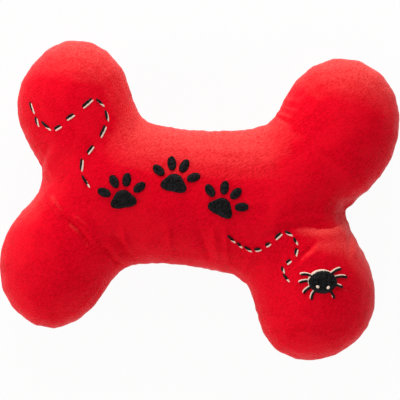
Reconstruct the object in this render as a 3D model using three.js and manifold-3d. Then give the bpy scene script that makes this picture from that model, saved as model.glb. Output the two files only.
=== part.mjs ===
// Squeaky plush dog toy: a stuffed bone lying on its back, embroidered side up.
// Two velour panels are sewn round the edge and filled with wads of polyester, and a squeaker sits in the shaft.
// Millimetres. X runs along the bone, Y across it and Z up through its thickness.
import * as THREE from "three";
import { mergeVertices } from "three/addons/utils/BufferGeometryUtils.js";
import Module from "manifold-3d";

const wasm = await Module();
wasm.setup();

// Shaft of the bone: an oval section that flares towards both ends
const shaftHalfThickness = 33;
const shaftHalfWidth = 41.9;
const shaftFlare = 20;
const flareLength = 90;
const shaftHalfLength = 103;
const shaftEndPower = 6;
const waistX = -11.2;
const waistY = -1.3;

// Lobes: four ovals that melt into the shaft, in order round the bone
const lobeHalfThickness = 30;
const lobeBlend = 33;
const lobes = [
  { name: "upper_right", x: 82.4, y: 51.1, along: 37.4, across: 43.9, turnDeg: -4.2 },
  { name: "upper_left", x: -83.6, y: 49.2, along: 35.4, across: 39.5, turnDeg: 179.5 },
  { name: "lower_left", x: -84.6, y: -47.6, along: 34.9, across: 43.1, turnDeg: -11.3 },
  { name: "lower_right", x: 78.9, y: -57, along: 35.5, across: 38.7, turnDeg: -33.1 },
];

// Tucks: the seam draws the skin in between the two lobes of each end
const tuckReach = 16;
const tucks = [
  { x: -107, y: -1.1, depth: 22 },
  { x: 107, y: -2.3, depth: 28 },
];

// Creases: valleys in both panels that run from the tucks into the bone and fade out
const creaseFade = 12;
const creases = [
  { fromX: 93, fromY: -0.5, toX: 56, toY: -13, depth: 3.2, halfWidth: 6.5 },
  { fromX: -97, fromY: 1, toX: -93, toY: 26, depth: 2, halfWidth: 5 },
];

// Plush panels and the seam between them
const plushThickness = 2.5;
const seamAllowance = 7;
const allowanceThickness = 1.2;
const seamGap = 0.3;
const restCut = 0.5;

// Backing left behind the embroidery, and the stuffing inside it
const backingThickness = 0.4;
const backingClearance = 0.4;
const fillClearance = 0.3;
const neckShare = 0.42;

// Squeaker: a blow-moulded bulb with a whistle pushed into its neck hole
const bulbDiameter = 48;
const bulbHeight = 22;
const bulbCorner = 8;
const bulbWall = 1;
const bulbDish = 1.5;
const fitGap = 0.3;
const barrelDiameter = 9;
const barrelWall = 1;
const barrelLength = 11;
const barrelFlangeDiameter = 14;
const barrelFlangeThickness = 1.2;
const reedGap = 0.1;
const reedThickness = 0.3;
const reedWidth = 4.4;
const reedFreeLength = 6.5;
const reedClampLength = 2;
const seatChannelWidth = 2.6;
const seatChannelDepth = 1.4;

// Satin embroidery: how far it stands off the velour, how thick the thread lies and how high its edge stands
const threadGap = 0.3;
const threadHeight = 1.1;
const threadEdgeShare = 0.45;

// Row of paw prints across the shaft
const pawPadHalfWidth = 7.8;
const pawPadHalfHeight = 5.8;
const pawPadTrefoilShare = 0.13;
const toeHalfLength = 4.4;
const toeHalfWidth = 2.9;
const toeRadius = 12.6;
const toeAnglesDeg = [150, 108, 72, 30];
const pawPadDrop = 3;
const paws = [
  { x: -47, y: -4, turnDeg: 14 },
  { x: -16, y: 9, turnDeg: -6 },
  { x: 15, y: -3, turnDeg: -22 },
];

// Spider on the lower right lobe; its knees and feet are shares of the body's half width
const spiderX = 80.4;
const spiderY = -44.7;
const spiderTurnDeg = 5.7;
const spiderHalfWidth = 8.6;
const spiderHalfHeight = 7.5;
const legWidth = 1.3;
const legHeight = 0.8;
const legShares = [
  { knee: [-1.21, 0.66], foot: [-1.57, 0.49] },
  { knee: [-1.4, 0.12], foot: [-1.66, -0.09] },
  { knee: [-1.27, -0.55], foot: [-1.33, -0.85] },
  { knee: [-0.87, -1.02], foot: [-0.76, -1.3] },
  { knee: [0.85, -1.02], foot: [0.81, -1.21] },
  { knee: [1.27, -0.27], foot: [1.45, -0.4] },
  { knee: [1.4, 0.49], foot: [1.76, 0.3] },
  { knee: [1.02, 0.94], foot: [1.33, 0.91] },
];

// Sheets of backing: one behind the paw prints and one behind each trail of running stitches
const backings = [
  { name: "motif_backing", x: -16, y: 2, along: 47, across: 25, turnDeg: 0, cornerPower: 2.5 },
  { name: "upper_trail_backing", x: -86, y: 27, along: 27, across: 22, turnDeg: 95, cornerPower: 2.2 },
  { name: "spider_backing", x: 66, y: -41, along: 32, across: 17, turnDeg: -20, cornerPower: 2.2 },
];

// Facets: rays along each side of a lobe, round its end and along the shaft, and rings from spine to rim
const sideSteps = 4;
const arcSteps = 9;
const shaftSteps = 8;
const ringSteps = 6;
const turnSteps = 24;
const cornerSteps = 2;
const padSteps = 12;
const padRingShares = [0, 0.62, 1];
const sheetSteps = 36;
const legSteps = 6;
const spineShare = 0.45;
const searchStep = 2;
const searchHalvings = 40;
const slopeProbe = 0.001;

const rightAngle = Math.PI / 2;
const lerp = THREE.MathUtils.lerp;
const radians = THREE.MathUtils.degToRad;

// Two heights squared, melted together where they are nearly alike
function meltSquares(a, b) {
  const blend = lobeBlend ** 2;
  const share = Math.max(blend - Math.abs(a - b), 0) / blend;
  return Math.max(a, b) + (share * share * blend) / 4;
}

// Half thickness of the stuffed bone squared, at a place seen from above; below zero outside its outline
function thicknessSquared(x, y) {
  const halfWidth = shaftHalfWidth + shaftFlare * ((x - waistX) / flareLength) ** 2;
  const across = ((y - waistY) / halfWidth) ** 2;
  const along = (Math.abs(x) / shaftHalfLength) ** shaftEndPower;
  let height = shaftHalfThickness ** 2 * (1 - across - along);
  for (const lobe of lobes) {
    const turn = radians(lobe.turnDeg);
    const dx = x - lobe.x;
    const dy = y - lobe.y;
    const a = (dx * Math.cos(turn) + dy * Math.sin(turn)) / lobe.along;
    const b = (dy * Math.cos(turn) - dx * Math.sin(turn)) / lobe.across;
    height = meltSquares(height, lobeHalfThickness ** 2 * (1 - a * a - b * b));
  }
  for (const tuck of tucks) {
    const distance = Math.hypot(x - tuck.x, y - tuck.y) / tuckReach;
    height -= tuck.depth ** 2 * Math.exp(-distance * distance);
  }
  return height;
}

// Depth of the creases at a place, where the skin stands at a height from the seam
function creaseDepth(x, y, height) {
  let depth = 0;
  for (const crease of creases) {
    const runX = crease.toX - crease.fromX;
    const runY = crease.toY - crease.fromY;
    const along = ((x - crease.fromX) * runX + (y - crease.fromY) * runY) / (runX ** 2 + runY ** 2);
    const share = Math.min(Math.max(along, 0), 1);
    const away = Math.hypot(x - crease.fromX - share * runX, y - crease.fromY - share * runY);
    depth += crease.depth * (1 - share ** 2) * Math.exp(-((away / crease.halfWidth) ** 2));
  }
  return depth * Math.min(height / creaseFade, 1);
}

// Point on the skin above (side 1) or below (side -1) a place, sunk by a depth along the skin's own normal
function skinPoint(x, y, side, depth) {
  const height = Math.sqrt(Math.max(thicknessSquared(x, y), 0));
  const slopeX = thicknessSquared(x + slopeProbe, y) - thicknessSquared(x - slopeProbe, y);
  const slopeY = thicknessSquared(x, y + slopeProbe) - thicknessSquared(x, y - slopeProbe);
  const normal = new THREE.Vector3(-slopeX, -slopeY, 4 * slopeProbe * height * side).normalize();
  return new THREE.Vector3(x, y, height * side).addScaledVector(normal, -depth - creaseDepth(x, y, height));
}

// Distance from a spine point to the bone's outline along a heading
function reachToOutline(x, y, heading) {
  const inside = (distance) =>
    thicknessSquared(x + distance * Math.cos(heading), y + distance * Math.sin(heading)) > 0;
  let far = searchStep;
  while (inside(far)) far += searchStep;
  let near = far - searchStep;
  for (let i = 0; i < searchHalvings; i += 1) {
    const middle = (near + far) / 2;
    if (inside(middle)) near = middle;
    else far = middle;
  }
  return near;
}

// Spine joints: where the branches to the two lobes of an end leave the shaft
function spineJoint(lobe) {
  const ends = lobes.filter((other) => Math.sign(other.x) === Math.sign(lobe.x));
  const meanX = ends.reduce((sum, other) => sum + other.x, 0) / ends.length;
  return new THREE.Vector2(meanX * spineShare, waistY);
}

// Heading of the branch that runs from the spine joint to a lobe's centre, counted round from a start
function branchHeading(lobe, start) {
  const joint = spineJoint(lobe);
  const heading = Math.atan2(lobe.y - joint.y, lobe.x - joint.x);
  return heading < start - rightAngle ? heading + 4 * rightAngle : heading;
}

// Rays from an H-shaped spine to the outline, once round the bone against the clock
function spineRays() {
  const rays = [];
  const add = (from, to, share, heading) => {
    const x = lerp(from.x, to.x, share);
    const y = lerp(from.y, to.y, share);
    rays.push({ x, y, heading, reach: reachToOutline(x, y, heading) });
  };
  lobes.forEach((lobe, quarter) => {
    const joint = spineJoint(lobe);
    const enter = quarter * rightAngle;
    const leave = enter + rightAngle;
    const branch = branchHeading(lobe, enter);
    for (let i = 0; i < sideSteps; i += 1) {
      const share = i / sideSteps;
      add(joint, lobe, share, lerp(enter, branch - rightAngle, share));
    }
    for (let i = 0; i < arcSteps; i += 1) {
      add(lobe, lobe, 0, lerp(branch - rightAngle, branch + rightAngle, i / arcSteps));
    }
    for (let i = 0; i < sideSteps; i += 1) {
      const share = i / sideSteps;
      add(lobe, joint, share, lerp(branch + rightAngle, leave, share));
    }
    if (quarter % 2 === 0) {
      const nextJoint = spineJoint(lobes[quarter + 1]);
      for (let i = 0; i < shaftSteps; i += 1) add(joint, nextJoint, i / shaftSteps, leave);
    }
  });
  return rays;
}

const rays = spineRays();
const rings = Array.from({ length: ringSteps }, (_, i) => i);

// One loop round the bone on the skin, at a share of the way from the spine to the rim
function skinLoop(ring, side, depth) {
  const share = Math.sin((ring / ringSteps) * rightAngle);
  return rays.map(({ x, y, heading, reach }) =>
    skinPoint(x + share * reach * Math.cos(heading), y + share * reach * Math.sin(heading), side, depth));
}

// One loop round the bone at the rim, drawn in by a depth and set at a height
function rimLoop(depth, height) {
  return skinLoop(ringSteps, 1, depth).map((point) => point.setZ(height));
}

// Thin shell between two depths under the front skin, from the crown of the bone down to the seam
function frontShell(outerDepth, innerDepth) {
  return loftedSolid([
    ...rings.map((ring) => skinLoop(ring, 1, outerDepth)),
    rimLoop(outerDepth, 0),
    rimLoop(innerDepth, 0),
    ...rings.toReversed().map((ring) => skinLoop(ring, 1, innerDepth)),
  ]);
}

// Closed solid lofted through loops of points; the first and last loops close on themselves.
// Each quad is split along its shorter diagonal, so skins one below the other have like facets.
function loftedSolid(loops) {
  const count = loops[0].length;
  const points = loops.flat();
  const positions = points.flatMap((point) => point.toArray());
  const index = [];
  for (let i = 0; i + 1 < loops.length; i += 1) {
    for (let j = 0; j < count; j += 1) {
      const a = i * count + j;
      const b = i * count + ((j + 1) % count);
      const [c, d] = [a + count, b + count];
      if (points[b].distanceTo(points[c]) < points[a].distanceTo(points[d])) index.push(a, c, b, b, c, d);
      else index.push(a, c, d, a, d, b);
    }
  }
  const geometry = new THREE.BufferGeometry();
  geometry.setAttribute("position", new THREE.Float32BufferAttribute(positions, 3));
  geometry.setIndex(index);
  return weldedOutward(geometry);
}

// Welds a mesh's shared vertices, drops its collapsed triangles and turns its faces outward
function weldedOutward(source) {
  const bare = source.clone();
  bare.deleteAttribute("normal");
  bare.deleteAttribute("uv");
  const welded = mergeVertices(bare);
  const old = welded.index.array;
  const points = welded.attributes.position;
  const corner = (i) => new THREE.Vector3().fromBufferAttribute(points, i);
  const kept = [];
  let volume = 0;
  for (let i = 0; i < old.length; i += 3) {
    const [a, b, c] = [old[i], old[i + 1], old[i + 2]];
    if (a === b || b === c || c === a) continue;
    kept.push(a, b, c);
    volume += corner(a).dot(corner(b).cross(corner(c)));
  }
  if (volume < 0) kept.reverse();
  welded.setIndex(kept);
  welded.computeVertexNormals();
  return welded;
}

// Geometry to solid and back, for pieces that others cut
function toSolid(geometry) {
  const welded = weldedOutward(geometry);
  return new wasm.Manifold(new wasm.Mesh({
    numProp: 3,
    vertProperties: new Float32Array(welded.attributes.position.array),
    triVerts: new Uint32Array(welded.index.array),
  }));
}

function toGeometry(solid) {
  const mesh = solid.getMesh();
  const geometry = new THREE.BufferGeometry();
  geometry.setAttribute("position", new THREE.Float32BufferAttribute(mesh.vertProperties, 3));
  geometry.setIndex(Array.from(mesh.triVerts));
  return weldedOutward(geometry);
}

// Large block whose lower face lies on a plane, for cutting away all that is beyond it
const cutReach = 4 * shaftHalfLength;
function blockBeyond(point, direction) {
  const block = new THREE.BoxGeometry(cutReach, cutReach, cutReach);
  block.translate(0, 0, cutReach / 2);
  const up = new THREE.Vector3(0, 0, 1);
  block.applyQuaternion(new THREE.Quaternion().setFromUnitVectors(up, direction));
  block.translate(point.x, point.y, point.z);
  return toSolid(block);
}

// Panels: a skin of plush whose edge turns in at the seam as the sewing allowance
function panelGeometry(side) {
  const seamZ = (side * seamGap) / 2;
  const allowanceZ = seamZ + side * allowanceThickness;
  return loftedSolid([
    ...rings.map((ring) => skinLoop(ring, side, 0)),
    rimLoop(0, seamZ),
    rimLoop(plushThickness + seamAllowance, seamZ),
    rimLoop(plushThickness + seamAllowance, allowanceZ),
    rimLoop(plushThickness, allowanceZ),
    ...rings.toReversed().map((ring) => skinLoop(ring, side, plushThickness)),
  ]);
}

const frontPanel = panelGeometry(1);
frontPanel.computeBoundingBox();
const wholeBackPanel = panelGeometry(-1);
wholeBackPanel.computeBoundingBox();
const restZ = wholeBackPanel.boundingBox.min.z + restCut;
const down = new THREE.Vector3(0, 0, -1);
const backPanel = toGeometry(toSolid(wholeBackPanel).subtract(blockBeyond(new THREE.Vector3(0, 0, restZ), down)));

// Stuffing: the space inside the panels, less the seam allowances, cut into wads that lie against each other
const fillDepth = plushThickness + 2 * backingClearance + backingThickness;
const wholeFill = loftedSolid([
  ...rings.map((ring) => skinLoop(ring, 1, fillDepth)),
  skinLoop(ringSteps, 1, fillDepth),
  ...rings.toReversed().map((ring) => skinLoop(ring, -1, fillDepth)),
]);

function allowanceCutter() {
  const inner = plushThickness + seamAllowance + fillClearance;
  const top = seamGap / 2 + allowanceThickness + fillClearance;
  const section = [rimLoop(-seamAllowance, -top), rimLoop(inner, -top), rimLoop(inner, top), rimLoop(-seamAllowance, top)];
  return toSolid(loftedSolid([...section, section[0]]));
}

const fillSolid = toSolid(wholeFill).subtract(allowanceCutter());

// Neck plane of a lobe: across its branch of the spine, moved out along it by an offset
function neckCutter(lobe, quarter, offset) {
  const joint = spineJoint(lobe);
  const branch = branchHeading(lobe, quarter * rightAngle);
  const direction = new THREE.Vector3(Math.cos(branch), Math.sin(branch), 0);
  const neck = new THREE.Vector3(lerp(joint.x, lobe.x, neckShare), lerp(joint.y, lobe.y, neckShare), 0);
  return blockBeyond(neck.addScaledVector(direction, offset), direction);
}

function lobeFillGeometry(lobe, quarter) {
  const sideY = Math.sign(lobe.y);
  const middle = new THREE.Vector3(0, waistY + (sideY * fillClearance) / 2, 0);
  const own = blockBeyond(middle, new THREE.Vector3(0, sideY, 0));
  return toGeometry(fillSolid.intersect(neckCutter(lobe, quarter, fillClearance / 2)).intersect(own));
}

// Squeaker bulb: outer half section from the neck hole round to the dished top, grown by a clearance
function bulbSection(grow) {
  const radius = bulbDiameter / 2 + grow;
  const half = bulbHeight / 2 + grow;
  const corner = bulbCorner + grow;
  const path = new THREE.Path();
  path.moveTo(radius - corner, -half);
  path.absarc(radius - corner, -half + corner, corner, -rightAngle, 0, false);
  path.absarc(radius - corner, half - corner, corner, 0, rightAngle, false);
  return path.getPoints(cornerSteps);
}

const neckRadius = barrelDiameter / 2 + fitGap;
const squeakerCentre = new THREE.Vector3(0, waistY, 0);
const bulbBottom = -bulbHeight / 2;

// Turns a half section about the squeaker's upright axis
function turned(section) {
  const geometry = new THREE.LatheGeometry(section, turnSteps);
  geometry.rotateX(rightAngle);
  return geometry;
}

function bulbGeometry() {
  const topY = bulbHeight / 2 - bulbDish;
  const outer = [new THREE.Vector2(neckRadius, bulbBottom), ...bulbSection(0), new THREE.Vector2(0, topY)];
  const inner = [
    new THREE.Vector2(0, topY - bulbWall),
    ...bulbSection(-bulbWall).reverse(),
    new THREE.Vector2(neckRadius, bulbBottom + bulbWall),
  ];
  return weldedOutward(turned([...outer, ...inner, outer[0]]));
}

// Whistle barrel: a tube through the neck hole, with a flange that lies under the bulb
const flangeTop = bulbBottom - fitGap;
const barrelBottom = flangeTop - barrelFlangeThickness;
function barrelGeometry() {
  const bore = barrelDiameter / 2 - barrelWall;
  const section = [
    [bore, barrelBottom],
    [barrelFlangeDiameter / 2, barrelBottom],
    [barrelFlangeDiameter / 2, flangeTop],
    [barrelDiameter / 2, flangeTop],
    [barrelDiameter / 2, barrelBottom + barrelLength],
    [bore, barrelBottom + barrelLength],
    [bore, barrelBottom],
  ];
  return weldedOutward(turned(section.map(([r, z]) => new THREE.Vector2(r, z))));
}

// Half plug that fits the barrel's bore, flat side towards the reed; a channel may run down the flat
const plugRadius = barrelDiameter / 2 - barrelWall - fitGap;
function plugGeometry(length, flatAt, channelWidth, channelDepth) {
  const reach = Math.acos(flatAt / plugRadius);
  const shape = new THREE.Shape();
  shape.absarc(0, 0, plugRadius, reach, -reach, true);
  if (channelWidth > 0) {
    shape.lineTo(flatAt, -channelWidth / 2);
    shape.lineTo(flatAt + channelDepth, -channelWidth / 2);
    shape.lineTo(flatAt + channelDepth, channelWidth / 2);
    shape.lineTo(flatAt, channelWidth / 2);
  }
  shape.closePath();
  return new THREE.ExtrudeGeometry(shape, { depth: length, bevelEnabled: false, curveSegments: turnSteps / 4 });
}

const reedLength = reedFreeLength + reedClampLength;
const seatFlat = reedThickness / 2 + reedGap;
function reedSeatGeometry() {
  return weldedOutward(plugGeometry(reedLength, seatFlat, seatChannelWidth, seatChannelDepth));
}

function reedWedgeGeometry() {
  const wedge = plugGeometry(reedClampLength, seatFlat, 0, 0);
  wedge.rotateZ(Math.PI);
  return weldedOutward(wedge);
}

// Space that the stuffing leaves for the squeaker
function squeakerSpace() {
  const axisTop = new THREE.Vector2(0, bulbHeight / 2 + fillClearance);
  const flangeRadius = barrelFlangeDiameter / 2 + fillClearance;
  const flangeBottom = barrelBottom - fillClearance;
  const section = [
    new THREE.Vector2(0, flangeBottom),
    new THREE.Vector2(flangeRadius, flangeBottom),
    new THREE.Vector2(flangeRadius, bulbBottom - fillClearance),
    ...bulbSection(fillClearance),
    axisTop,
  ];
  return toSolid(turned(section)).translate(squeakerCentre.toArray());
}

// Wads in front of the squeaker and behind it
function coreFillGeometry(side) {
  const middle = new THREE.Vector3(0, 0, (side * fillClearance) / 2);
  let core = fillSolid.intersect(blockBeyond(middle, new THREE.Vector3(0, 0, side)));
  lobes.forEach((lobe, quarter) => {
    core = core.subtract(neckCutter(lobe, quarter, -fillClearance / 2));
  });
  return toGeometry(core.subtract(squeakerSpace()));
}

// Point on the front of the toy at a place given in a motif's own turned frame, raised off the skin
function motifPoint(motif, x, y, rise) {
  const turn = radians(motif.turnDeg);
  const px = motif.x + x * Math.cos(turn) - y * Math.sin(turn);
  const py = motif.y + x * Math.sin(turn) + y * Math.cos(turn);
  return skinPoint(px, py, 1, -rise);
}

// Curve round a circle of radius 1, stretched at each angle
function unitOutline(steps, radiusAt) {
  return Array.from({ length: steps }, (_, i) => {
    const angle = (i / steps) * 4 * rightAngle;
    const radius = radiusAt(angle);
    return [radius * Math.cos(angle), radius * Math.sin(angle)];
  });
}

// Satin pad: thread domed over a small outline, which follows the skin
function satinPadGeometry(motif, halfX, halfY, radiusAt) {
  const outline = unitOutline(padSteps, radiusAt);
  const loop = (share, rise) =>
    outline.map(([x, y]) => motifPoint(motif, x * share * halfX, y * share * halfY, rise));
  const crownShare = (share) => lerp(threadEdgeShare, 1, Math.sqrt(1 - share * share));
  const top = padRingShares.map((share) => loop(share, threadGap + threadHeight * crownShare(share)));
  const bottom = padRingShares.toReversed().map((share) => loop(share, threadGap));
  return loftedSolid([...top, ...bottom]);
}

const round = () => 1;
const trefoil = (angle) => 1 - pawPadTrefoilShare * Math.sin(3 * angle);

// Curved satin bar of a spider's leg, from the edge of its body over the knee to the foot
function legGeometry(spider, { knee, foot }) {
  const kneeX = knee[0] * spiderHalfWidth;
  const kneeY = knee[1] * spiderHalfWidth;
  const towards = Math.atan2(kneeY, kneeX);
  const edge = 1 / Math.hypot(Math.cos(towards) / spiderHalfWidth, Math.sin(towards) / spiderHalfHeight);
  const hip = new THREE.Vector2(Math.cos(towards), Math.sin(towards)).multiplyScalar(edge + fitGap);
  const tip = new THREE.Vector2(foot[0] * spiderHalfWidth, foot[1] * spiderHalfWidth);
  const route = new THREE.QuadraticBezierCurve(hip, new THREE.Vector2(kneeX, kneeY), tip);
  const section = (share) => {
    const at = route.getPoint(share);
    const along = route.getTangent(share);
    const point = (offset, rise) =>
      motifPoint(spider, at.x - along.y * offset, at.y + along.x * offset, threadGap + rise);
    return [
      point(-legWidth / 2, 0),
      point(legWidth / 2, 0),
      point(legWidth / 2, legHeight / 2),
      point(0, legHeight),
      point(-legWidth / 2, legHeight / 2),
    ];
  };
  const endOf = (points) => {
    const middle = new THREE.Vector3();
    for (const point of points) middle.addScaledVector(point, 1 / points.length);
    return points.map(() => middle);
  };
  const sections = Array.from({ length: legSteps + 1 }, (_, i) => section(i / legSteps));
  return loftedSolid([endOf(sections[0]), ...sections, endOf(sections[legSteps])]);
}

// Finishes, as colour, roughness and metalness
const finish = (name, color, roughness) => new THREE.MeshStandardMaterial({ name, color, roughness, metalness: 0 });
const velour = finish("red_velour", 0xd81a2c, 0.95);
const stuffing = finish("polyester_stuffing", 0xf1efe8, 1);
const nonWoven = finish("non_woven_backing", 0xe4e2dc, 0.95);
const satin = finish("black_satin_thread", 0x17171a, 0.45);
const softPlastic = finish("squeaker_plastic", 0xf4f3ee, 0.4);
const hardPlastic = finish("whistle_plastic", 0xe8e6df, 0.35);
const reedFilm = finish("reed_film", 0xd9e4e8, 0.3);

const toy = new THREE.Group();
toy.name = "plush_bone";

function addPiece(parent, name, geometry, material) {
  const piece = new THREE.Mesh(geometry, material);
  piece.name = name;
  parent.add(piece);
  return piece;
}

addPiece(toy, "back_panel", backPanel, velour);
addPiece(toy, "front_panel", frontPanel, velour);
lobes.forEach((lobe, quarter) => {
  addPiece(toy, `${lobe.name}_lobe_fill`, lobeFillGeometry(lobe, quarter), stuffing);
});
addPiece(toy, "front_core_fill", coreFillGeometry(1), stuffing);
addPiece(toy, "back_core_fill", coreFillGeometry(-1), stuffing);

// Backing sheets, under the front panel and clear of its seam
const backingOuter = plushThickness + backingClearance;
const backingShell = toSolid(frontShell(backingOuter, backingOuter + backingThickness))
  .intersect(blockBeyond(new THREE.Vector3(0, 0, seamAllowance), new THREE.Vector3(0, 0, 1)));
for (const sheet of backings) {
  const superellipse = (angle) => {
    const cos = Math.abs(Math.cos(angle)) ** sheet.cornerPower;
    const sin = Math.abs(Math.sin(angle)) ** sheet.cornerPower;
    return (cos + sin) ** (-1 / sheet.cornerPower);
  };
  const outline = unitOutline(sheetSteps, superellipse).map(([x, y]) => new THREE.Vector2(x, y));
  const prism = new THREE.ExtrudeGeometry(new THREE.Shape(outline), { depth: 1, bevelEnabled: false });
  prism.scale(sheet.along, sheet.across, cutReach);
  prism.rotateZ(radians(sheet.turnDeg));
  prism.translate(sheet.x, sheet.y, 0);
  addPiece(toy, sheet.name, toGeometry(backingShell.intersect(toSolid(prism))), nonWoven);
}

// Paw prints: one pad and four toes each
paws.forEach((paw, number) => {
  const place = (x, y, turnDeg) => {
    const turn = radians(paw.turnDeg);
    return {
      x: paw.x + x * Math.cos(turn) - y * Math.sin(turn),
      y: paw.y + x * Math.sin(turn) + y * Math.cos(turn),
      turnDeg: paw.turnDeg + turnDeg,
    };
  };
  const pad = place(0, -pawPadDrop, 0);
  addPiece(toy, `paw_${number + 1}_pad`, satinPadGeometry(pad, pawPadHalfWidth, pawPadHalfHeight, trefoil), satin);
  toeAnglesDeg.forEach((angleDeg, toe) => {
    const angle = radians(angleDeg);
    const at = place(toeRadius * Math.cos(angle), toeRadius * Math.sin(angle) - pawPadDrop, angleDeg);
    const geometry = satinPadGeometry(at, toeHalfLength, toeHalfWidth, round);
    addPiece(toy, `paw_${number + 1}_toe_${toe + 1}`, geometry, satin);
  });
});

// Spider: a round body and eight bent legs
const spider = { x: spiderX, y: spiderY, turnDeg: spiderTurnDeg };
addPiece(toy, "spider_body", satinPadGeometry(spider, spiderHalfWidth, spiderHalfHeight, round), satin);
legShares.forEach((shares, number) => {
  addPiece(toy, `spider_leg_${number + 1}`, legGeometry(spider, shares), satin);
});

// Squeaker, standing on its flange in the middle of the shaft
const squeaker = new THREE.Group();
squeaker.position.copy(squeakerCentre);
toy.add(squeaker);
addPiece(squeaker, "squeaker_bulb", bulbGeometry(), softPlastic);
addPiece(squeaker, "whistle_barrel", barrelGeometry(), hardPlastic);
addPiece(squeaker, "reed_seat", reedSeatGeometry(), hardPlastic).position.z = barrelBottom;
addPiece(squeaker, "reed_wedge", reedWedgeGeometry(), hardPlastic).position.z = barrelBottom;
const reedBox = new THREE.BoxGeometry(reedThickness, reedWidth, reedLength);
const reed = addPiece(squeaker, "reed", weldedOutward(reedBox), reedFilm);
reed.position.z = barrelBottom + reedLength / 2;

// The toy rests on the flat of its back, with the middle of its outline at the origin
const outlineBox = frontPanel.boundingBox;
toy.position.set(
  -(outlineBox.min.x + outlineBox.max.x) / 2,
  -(outlineBox.min.y + outlineBox.max.y) / 2,
  -restZ,
);

export default toy;
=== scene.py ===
from contextlib import contextmanager
import math

import bmesh
import bpy
import numpy as np
from mathutils import Matrix, Vector, noise
from mathutils.bvhtree import BVHTree


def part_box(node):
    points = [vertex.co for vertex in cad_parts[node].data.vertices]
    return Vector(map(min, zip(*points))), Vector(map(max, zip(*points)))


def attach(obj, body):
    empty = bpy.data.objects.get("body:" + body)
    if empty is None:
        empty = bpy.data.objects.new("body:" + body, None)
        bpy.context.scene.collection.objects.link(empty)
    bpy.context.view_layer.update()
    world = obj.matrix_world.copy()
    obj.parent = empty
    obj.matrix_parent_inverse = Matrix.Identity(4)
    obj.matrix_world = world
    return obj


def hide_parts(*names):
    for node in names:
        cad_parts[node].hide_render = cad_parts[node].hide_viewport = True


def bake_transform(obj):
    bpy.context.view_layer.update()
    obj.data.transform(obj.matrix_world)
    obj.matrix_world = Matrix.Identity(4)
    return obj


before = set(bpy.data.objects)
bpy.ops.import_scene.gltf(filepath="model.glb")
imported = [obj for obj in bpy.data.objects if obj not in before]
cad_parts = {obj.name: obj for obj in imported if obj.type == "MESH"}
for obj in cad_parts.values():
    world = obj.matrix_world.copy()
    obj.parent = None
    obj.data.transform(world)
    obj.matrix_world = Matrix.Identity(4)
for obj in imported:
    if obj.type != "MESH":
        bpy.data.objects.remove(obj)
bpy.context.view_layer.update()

# The picture: the camera looks straight down on the toy from above, turned a little, so that the bone lies
# askew as in the photograph. It lies on a plain white table. Three soft windows light it: one above it in the
# picture, one at its left, and a weaker one below it.
camera_height = 1.5
camera_roll = math.radians(5.7)
picture_centre = Vector((0.0005, -0.0022, 0))
picture_width = 0.2506
seam_height = 0.0325

bpy.ops.object.select_all(action="DESELECT")
bpy.ops.object.camera_add(
    location=(picture_centre.x, picture_centre.y, seam_height + camera_height),
    rotation=(0, 0, camera_roll))
camera = bpy.context.object
camera.name = "camera"
camera.data.lens = camera.data.sensor_width * camera_height / picture_width
camera.data.clip_end = 20
bpy.context.scene.camera = camera
bpy.context.scene.view_settings.view_transform = "Standard"

bpy.ops.mesh.primitive_plane_add(size=8, location=(0, 0, -0.0001))
table = bpy.context.object
table.name = "table"


def put(node, values):
    """Gives inputs of a shader node a constant, or joins them to the output socket of another node."""
    for name, value in values.items():
        if isinstance(value, bpy.types.NodeSocket):
            node.id_data.links.new(value, node.inputs[name])
        else:
            node.inputs[name].default_value = value


def added(tree, kind, values=None, **settings):
    """A new shader node in a tree, with its settings and inputs."""
    node = tree.nodes.new(kind)
    for setting, value in settings.items():
        setattr(node, setting, value)
    put(node, values or {})
    return node


def new_material(name):
    """A material, its shader tree and the shader of its surface."""
    material = bpy.data.materials.new(name)
    material.use_nodes = True
    return material, material.node_tree, material.node_tree.nodes["Principled BSDF"]


def worked_out(tree, operation, *terms):
    """The result of arithmetic on two or three values in a shader."""
    return added(tree, "ShaderNodeMath", dict(enumerate(terms)), operation=operation).outputs[0]


def seen_or_mirrored(tree):
    """1 for what is seen straight or in gloss or glass, and 0 for light that falls on other things."""
    path = added(tree, "ShaderNodeLightPath").outputs
    straight_or_gloss = worked_out(tree, "MAXIMUM", path["Is Camera Ray"], path["Is Glossy Ray"])
    return worked_out(tree, "MAXIMUM", straight_or_gloss, path["Is Transmission Ray"])


white = (1, 1, 1, 1)
paper, tree, surface = new_material("white table")
put(surface, {"Base Color": (0.9, 0.9, 0.9, 1), "Roughness": 0.9, "Specular IOR Level": 0.1})
blank = added(tree, "ShaderNodeEmission", {"Color": white})
mostly = worked_out(tree, "MULTIPLY", seen_or_mirrored(tree), 0.95)
mixed = added(
    tree, "ShaderNodeMixShader", {"Fac": mostly, 1: surface.outputs[0], 2: blank.outputs[0]})
put(tree.nodes["Material Output"], {"Surface": mixed.outputs[0]})
table.data.materials.append(paper)

room = bpy.data.worlds.new("white room")
bpy.context.scene.world = room
room.use_nodes = True
tree = room.node_tree
walls = tree.nodes["Background"]
put(walls, {"Color": white, "Strength": 0.39})
beyond = added(tree, "ShaderNodeBackground", {"Color": white})
mixed = added(
    tree, "ShaderNodeMixShader", {"Fac": seen_or_mirrored(tree), 1: walls.outputs[0], 2: beyond.outputs[0]})
put(tree.nodes["World Output"], {"Surface": mixed.outputs[0]})


def window(name, place, size, watts):
    """A square area light that faces the middle of the toy."""
    towards = Vector((0, 0, seam_height)) - Vector(place)
    turn = towards.to_track_quat("-Z", "Y").to_euler()
    bpy.ops.object.light_add(type="AREA", location=place, rotation=turn)
    light = bpy.context.object
    light.name = name
    light.data.size = size
    light.data.energy = watts


window("window_above", (-0.12, 0.85, 0.36), size=0.5, watts=6.2)
window("window_left", (-1.15, 0.0, 0.45), size=0.7, watts=6.6)
window("window_below", (0.2, -1.0, 0.42), size=0.6, watts=3.0)


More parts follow.
